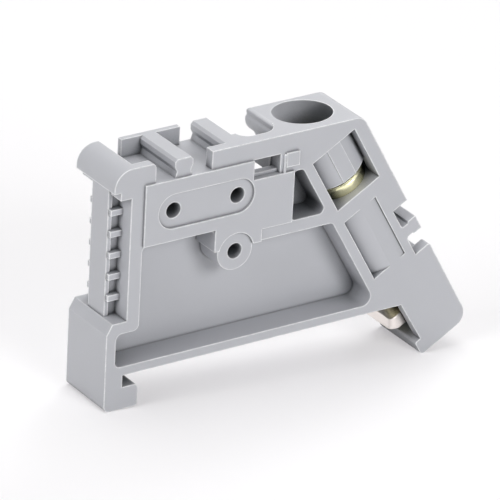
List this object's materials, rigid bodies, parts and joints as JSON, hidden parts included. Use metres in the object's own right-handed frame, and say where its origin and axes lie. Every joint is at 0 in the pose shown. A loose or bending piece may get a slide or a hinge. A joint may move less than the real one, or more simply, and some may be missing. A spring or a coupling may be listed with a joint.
{
  "type": "din rail end stop",
  "caption": "Moulded end stop for a 35 mm DIN rail: hooks on one lip and clamps under the other with a slanted captive screw and a steel clamp foot.",
  "frame": {"origin": "middle of the face that sits on the rail, halfway between the rail's lips and between the two flanks", "axes": "+X across the rail from the hook to the clamp, +Y along the rail away from the flank with the raised plate, +Z away from the rail"},
  "size_m": [0.0468, 0.0079, 0.0308],
  "materials": {
    "housing_plastic": "light grey moulded polyamide, satin",
    "yellow_zinc_steel": "yellow zinc plated steel",
    "zinc_plated_steel": "bright zinc plated steel"
  },
  "bodies": {
    "housing": {"body": "housing_plastic"},
    "screw": {"clamp_screw": "yellow_zinc_steel"},
    "foot": {"clamp_foot": "zinc_plated_steel"}
  },
  "joints": [
    {"name": "screw_turn", "type": "hinge", "parent": "housing", "child": "screw", "pos_m": [0.01151, 0.00035, 0.01498], "axis": [-0.5, 0, 0.866], "range_deg": [-720, 720]},
    {"name": "clamp_slide", "type": "slide", "parent": "housing", "child": "foot", "axis": [-0.5, 0, 0.866], "range_m": [-0.0014, 0.0014]}
  ],
  "couplings": [
    {"joint": "screw_turn", "follows": "clamp_slide", "rad_per_m": -8976}
  ]
}
